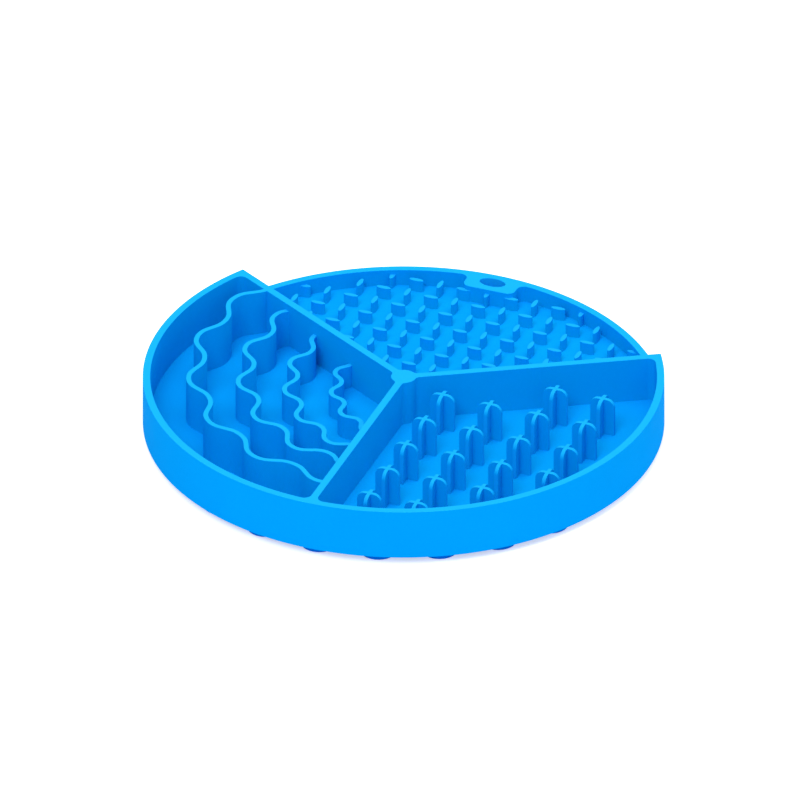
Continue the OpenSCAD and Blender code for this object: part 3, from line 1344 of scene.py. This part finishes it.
@dataclass
class LensPosts(SubAssembly):
    """Rows of small oval posts, each turned by a quarter from the next."""

    finish: ClassVar[Finish] = Finish.POST
    matrix_size: ClassVar[int] = 4
    tab: LowRim = field(default_factory=LowRim)
    sizes: MatSizes = SIZES
    post_l: float = 6.0 * MM
    post_w: float = 2.0 * MM
    height: float = 5.0 * MM
    pitch: float = 10.0 * MM
    rim_gap: float = 8.5 * MM
    least_show: float = 1.7 * MM
    hub_gap: float = 2.0 * MM
    edge_r: float = 0.14 * MM
    sides: int = 24
    rows: int = 9

    def _place(self, row: int, column: int) -> Vector:
        """Gives the middle of a post."""
        y = self.sizes.pocket_r - self.rim_gap - self.pitch * row
        return Vector((self.pitch * column, y, 0.0))

    def _lies_across(self, row: int, column: int) -> bool:
        """Tells whether a post's long side lies along X."""
        return (abs(column) + row) % 2 == 1

    def _fits(self, row: int, column: int) -> bool:
        """Tells whether there is room for a post between the dividers, the rim and the hub.

        Args:
            row: The post's row, counted from the rim.
            column: Its column, counted from the mat's middle line.

        Returns:
            Whether the post is there.
        """
        size = self.sizes
        place = self._place(row, column)
        half = self.post_l / 2
        if self._lies_across(row, column):
            tip = RIGHT * (math.copysign(half, column) if column else 0.0)
        else:
            tip = BACK * half
        right = place.dot(direction(size.right_angle + QUARTER_TURN)) - size.half_wall
        left = -place.dot(direction(size.left_angle + QUARTER_TURN)) - size.half_wall
        shown = size.pocket_r - (place - tip).length
        hub_room = place.length - half - Vector((size.hub_u, size.half_wall)).length
        return min(right, left) > 0.0 and shown >= self.least_show and hub_room >= self.hub_gap

    def _draw_post(self, bm: BMesh, row: int, column: int) -> None:
        """Adds a post, without what would run through a wall.

        Args:
            bm: The row's mesh.
            row: The post's row, counted from the rim.
            column: Its column, counted from the mat's middle line.
        """
        size = self.sizes
        place = self._place(row, column)
        turn = 0.0 if self._lies_across(row, column) else QUARTER_TURN
        shape = (
            Matrix.Translation(place + UP * size.floor_z)
            @ Matrix.Rotation(math.radians(turn), self.matrix_size, UP)
            @ Matrix.Diagonal((self.post_l / 2, self.post_w / 2, 1.0, 1.0))
        )
        oval = bmesh.new()
        bmesh.ops.create_circle(oval, segments=self.sides, radius=1.0, cap_ends=True, matrix=shape)
        Moulding(oval, size.floor_z + self.height, self.edge_r).grow().mark_painted_light()
        outward = place.normalized()
        cut(oval, outward * (size.pocket_r + size.sunk), outward, drop=True)
        close_cuts(oval)
        trim_to_compartment(oval, size.right_angle, size.left_angle)
        if abs(place.x) < self.tab.hole_l / 2:
            cut(oval, BACK * (self.tab.front_y + size.sunk), BACK, drop=True)
            close_cuts(oval)
        post = store(oval, "lens_post")
        stamp(bm, post, HUB)
        bpy.data.meshes.remove(post)

    def pieces(self) -> dict[str, BMesh]:
        """Makes the rows of posts.

        Returns:
            Each row's mesh by the name of its node.
        """
        reach = math.ceil(self.sizes.pocket_r / self.pitch)
        made = {}
        for row in range(self.rows):
            bm = bmesh.new()
            for column in range(-reach, reach + 1):
                if self._fits(row, column):
                    self._draw_post(bm, row, column)
            made[f"lens_posts_row_{row + 1}"] = bm
        return made


@dataclass
class SuctionCups(SubAssembly):
    """Ring of hollow suction cups under the base, without one that would close the hang hole."""

    finish: ClassVar[Finish] = Finish.CUP
    matrix_size: ClassVar[int] = 3
    tab: LowRim = field(default_factory=LowRim)
    sizes: MatSizes = SIZES
    cup_d: float = 15.0 * MM
    neck_d: float = 7.0 * MM
    neck_h: float = 0.7 * MM
    side_h: float = 0.5 * MM
    lip_w: float = 0.8 * MM
    hollow_h: float = 1.8 * MM
    lip_edge_r: float = 0.2 * MM
    inset: float = 11.0 * MM
    places: int = 24
    segments: int = 56

    def _draw_profile(self, bm: BMesh) -> None:
        """Draws a cup's profile, from the hollow's middle round the lip to the neck's middle.

        Args:
            bm: The mesh that it is drawn in, with the cup's height along Y.
        """
        cup_r, neck_r, top = self.cup_d / 2, self.neck_d / 2, self.sizes.base_z
        hollow_r = cup_r - self.lip_w
        dome_h = top - self.neck_h - self.side_h
        Pen(bm, RIGHT * hollow_r).arc(HUB, QUARTER_TURN, self.hollow_h / hollow_r)
        pen = Pen(bm, RIGHT * hollow_r)
        pen.line(Vector((cup_r - self.lip_edge_r, 0.0, 0.0)))
        pen.arc(Vector((cup_r - self.lip_edge_r, self.lip_edge_r, 0.0)), QUARTER_TURN)
        pen.line(Vector((cup_r, self.side_h, 0.0)))
        pen.arc(Vector((neck_r, self.side_h, 0.0)), QUARTER_TURN, dome_h / (cup_r - neck_r))
        pen.line(Vector((neck_r, top, 0.0)))
        pen.line(Vector((0.0, top, 0.0)))

    def _cup(self) -> BMesh:
        """Makes one cup at the middle of the mat.

        Returns:
            The cup's mesh.
        """
        bm = bmesh.new()
        self._draw_profile(bm)
        upright = Matrix.Rotation(math.radians(QUARTER_TURN), self.matrix_size, "X")
        bmesh.ops.rotate(bm, verts=bm.verts[:], cent=HUB, matrix=upright)
        bmesh.ops.remove_doubles(bm, verts=bm.verts[:], dist=TOUCHING)
        bmesh.ops.spin(
            bm,
            geom=everything(bm),
            cent=HUB,
            axis=UP,
            angle=math.radians(FULL_TURN),
            steps=self.segments,
            use_merge=True,
        )
        bmesh.ops.remove_doubles(bm, verts=bm.verts[:], dist=TOUCHING)
        bmesh.ops.recalc_face_normals(bm, faces=bm.faces[:])
        return bm

    def pieces(self) -> dict[str, BMesh]:
        """Makes the cups.

        Returns:
            Each cup's mesh by the name of its node.
        """
        room = self.neck_d / 2 + self.tab.hole_l / 2
        cup = self._cup()
        made = {}
        for place in range(self.places):
            turn = FULL_TURN * place / self.places
            middle = (self.sizes.mat_r - self.inset) * direction(turn)
            if (middle - self.tab.hole_middle).length <= room:
                continue
            bm = cup.copy()
            bmesh.ops.translate(bm, verts=bm.verts[:], vec=middle)
            made[f"suction_cup_{len(made) + 1}"] = bm
        cup.free()
        return made


@dataclass(frozen=True)
class SoftLamp:
    """A soft lamp, far enough away to light the whole mat evenly.

    A level of 1 shows a white face that looks straight at the lamp as white.
    """

    name: str
    azimuth: float
    elevation: float
    level: float
    spread: float = 35.0

    def place(self) -> None:
        """Adds the lamp."""
        lamp = bpy.data.lights.new(self.name, "SUN")
        lamp.energy = math.pi * self.level
        lamp.angle = math.radians(self.spread)
        way = sight_line(self.azimuth, self.elevation)
        put_in_scene(self.name, lamp).rotation_euler = way.to_track_quat("Z", "Y").to_euler()


@dataclass
class Studio:
    """White floor, white surroundings and soft light."""

    white: ClassVar[tuple[float, ...]] = (1.0, 1.0, 1.0, 1.0)
    room_strength: float = 0.551
    floor_size: float = 3.0
    floor_grey: float = 0.88
    floor_glow: float = 0.52
    lamps: tuple[SoftLamp, ...] = (
        SoftLamp("front_lamp", azimuth=0.0, elevation=50.0, level=0.364, spread=25.0),
        SoftLamp("overhead_lamp", azimuth=0.0, elevation=90.0, level=0.195),
        SoftLamp("right_lamp", azimuth=90.0, elevation=60.0, level=0.119),
        SoftLamp("back_lamp", azimuth=135.0, elevation=30.0, level=0.14),
    )

    def _seen(self, build: NodeBuilder) -> NodeSocket:
        """Adds a switch that is on where the camera, a mirror or clear material looks.

        Args:
            build: The builder of the tree that it goes into.

        Returns:
            The switch.
        """
        path = build.add("ShaderNodeLightPath").outputs
        first, second = (build.add("ShaderNodeMath", operation="MAXIMUM") for _ in range(2))
        build.join(
            (path["Is Camera Ray"], first.inputs[0]),
            (path["Is Glossy Ray"], first.inputs[1]),
            (first.outputs[0], second.inputs[0]),
            (path["Is Transmission Ray"], second.inputs[1]),
        )
        return second.outputs[0]

    def _light_room(self) -> None:
        """Makes the surroundings: white to the eye, and a plain even light on the mat."""
        world = bpy.data.worlds.new("studio_room")
        bpy.context.scene.world = world
        build = NodeBuilder.cleared(world)
        light, shown = (
            build.add("ShaderNodeBackground", {"Color": self.white, "Strength": strength})
            for strength in (self.room_strength, 1.0)
        )
        pick = build.add("ShaderNodeMixShader")
        output = build.add("ShaderNodeOutputWorld")
        build.join(
            (self._seen(build), pick.inputs["Fac"]),
            (light.outputs[0], pick.inputs[1]),
            (shown.outputs[0], pick.inputs[2]),
            (pick.outputs[0], output.inputs["Surface"]),
        )

    def _lay_floor(self) -> None:
        """Lays a pale floor that keeps the mat's shadow and looks white beyond it."""
        made = bpy.data.materials.new("studio_floor")
        build = NodeBuilder.cleared(made)
        grey = (self.floor_grey, self.floor_grey, self.floor_grey, 1.0)
        paint = build.add("ShaderNodeBsdfDiffuse", {"Color": grey})
        glow = build.add("ShaderNodeEmission")
        level = build.add("ShaderNodeMath", {1: self.floor_glow}, operation="MULTIPLY")
        both = build.add("ShaderNodeAddShader")
        output = build.add("ShaderNodeOutputMaterial")
        build.join(
            (self._seen(build), level.inputs[0]),
            (level.outputs[0], glow.inputs["Strength"]),
            (paint.outputs[0], both.inputs[0]),
            (glow.outputs[0], both.inputs[1]),
            (both.outputs[0], output.inputs["Surface"]),
        )
        bm = bmesh.new()
        bmesh.ops.create_grid(bm, x_segments=1, y_segments=1, size=self.floor_size / 2)
        mesh = store(bm, "studio_floor")
        mesh.materials.append(made)
        floor = put_in_scene("studio_floor", mesh)

    def build(self) -> None:
        """Sets up the floor, the surroundings and the lamps."""
        bpy.context.scene.view_settings.view_transform = "Standard"
        self._light_room()
        self._lay_floor()
        for lamp in self.lamps:
            lamp.place()


@dataclass(frozen=True)
class Viewpoint:
    """Camera with parallel sight lines, as the photograph was taken."""

    azimuth: float = 21.17
    elevation: float = 31.445
    target: Vector = field(default_factory=lambda: Vector((-1.307, -0.557, 13.542)) * MM)
    width: float = 315.78 * MM
    distance: float = 1.2
    far: float = 6.0

    def place(self) -> None:
        """Adds the camera and makes it the scene's."""
        lens = bpy.data.cameras.new("photo_camera")
        lens.type = "ORTHO"
        lens.ortho_scale = self.width
        lens.clip_end = self.far
        camera = put_in_scene("photo_camera", lens)
        way = sight_line(self.azimuth, self.elevation)
        camera.location = self.target + way * self.distance
        camera.rotation_euler = way.to_track_quat("Z", "Y").to_euler()
        bpy.context.scene.camera = camera


def main() -> None:
    """Builds the mat, its studio and its camera, and logs how many pieces it dressed."""
    logging.basicConfig(level=logging.INFO, format="%(name)s %(message)s")
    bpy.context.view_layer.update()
    Viewpoint().place()
    Studio().build()
    dresser = Dresser(FinishShelf())
    tab = LowRim()
    sub_assemblies: tuple[SubAssembly, ...] = (
        Base(tab),
        WallFrame(),
        tab,
        *wave_ridges(),
        CrossPosts(),
        LensPosts(tab),
        SuctionCups(tab),
    )
    for sub_assembly in sub_assemblies:
        sub_assembly.dress(dresser)
    LOG.info("%d pieces dressed", dresser.count)


if __name__ == "__main__":
    main()
